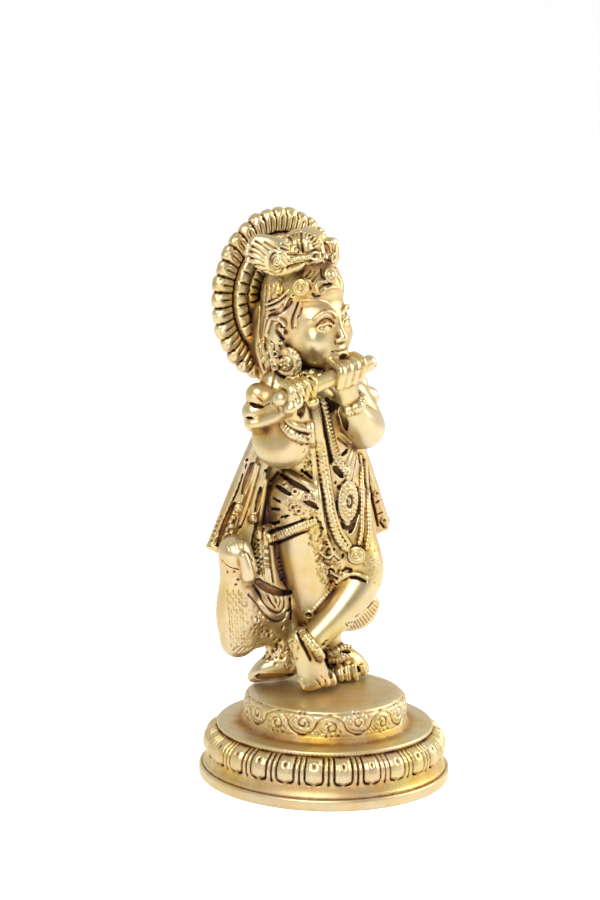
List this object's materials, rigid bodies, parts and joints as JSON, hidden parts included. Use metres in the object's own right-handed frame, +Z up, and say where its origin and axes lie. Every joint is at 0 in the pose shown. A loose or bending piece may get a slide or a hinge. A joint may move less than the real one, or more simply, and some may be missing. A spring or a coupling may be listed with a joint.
{
  "type": "devotional figurine",
  "caption": "Cast-brass figurine of a cross-legged flute player before a scalloped halo, with a shawl, garlands and a peacock, on a round lotus plinth.",
  "frame": {"origin": "middle of the plinth's underside", "axes": "+Z up; the figure faces -Y, its right hand is towards -X and its left towards +X"},
  "size_m": [0.066, 0.066, 0.1493],
  "materials": {
    "figure_brass": "polished on the high places, dark patina in the recesses",
    "plinth_brass": "polished on the high places, dark patina in the recesses"
  },
  "bodies": {
    "root": {"flute_player": "figure_brass", "plinth": "plinth_brass"}
  },
  "joints": []
}
